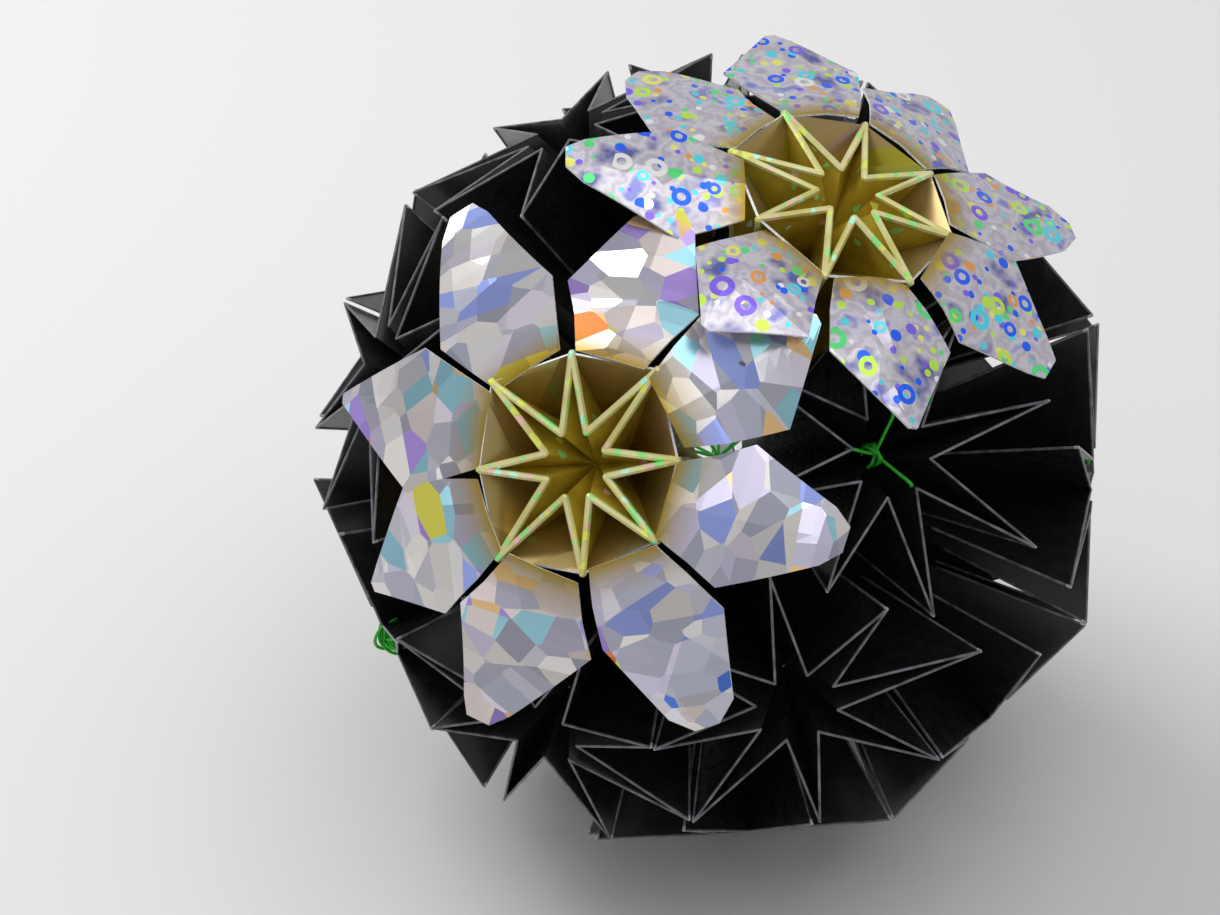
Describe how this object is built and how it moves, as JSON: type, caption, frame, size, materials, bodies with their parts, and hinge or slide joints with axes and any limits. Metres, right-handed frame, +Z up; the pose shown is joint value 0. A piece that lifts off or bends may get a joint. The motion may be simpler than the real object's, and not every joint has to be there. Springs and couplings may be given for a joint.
{
  "type": "kusudama paper ball",
  "caption": "Ball of folded glossy black paper stars sewn with green thread, with two silver holographic flowers that have golden star middles.",
  "frame": {"origin": "middle of the flat that the ball rests on, straight under the ball's middle", "axes": "+Z up, -Y towards the side with the front flower"},
  "size_m": [0.121, 0.1295, 0.1244],
  "materials": {
    "black_paper": "gloss",
    "crystal_film": "gloss",
    "bubble_film": "gloss",
    "thread": "matte"
  },
  "bodies": {
    "root": {"black_star_bottom_1": "black_paper", "black_star_lower_1": "black_paper", "black_star_lower_2": "black_paper", "black_star_lower_3": "black_paper", "black_star_lower_4": "black_paper", "black_star_lower_5": "black_paper", "black_star_middle_1": "black_paper", "black_star_middle_2": "black_paper", "black_star_middle_3": "black_paper", "black_star_middle_4": "black_paper", "black_star_middle_5": "black_paper", "black_star_middle_6": "black_paper", "black_star_top_1": "black_paper", "black_star_upper_1": "black_paper", "black_star_upper_2": "black_paper", "black_star_upper_3": "black_paper", "black_star_upper_4": "black_paper", "black_star_upper_5": "black_paper", "sewing_thread": "thread", "silver_flower_front": "crystal_film", "silver_flower_top": "bubble_film"}
  },
  "joints": []
}
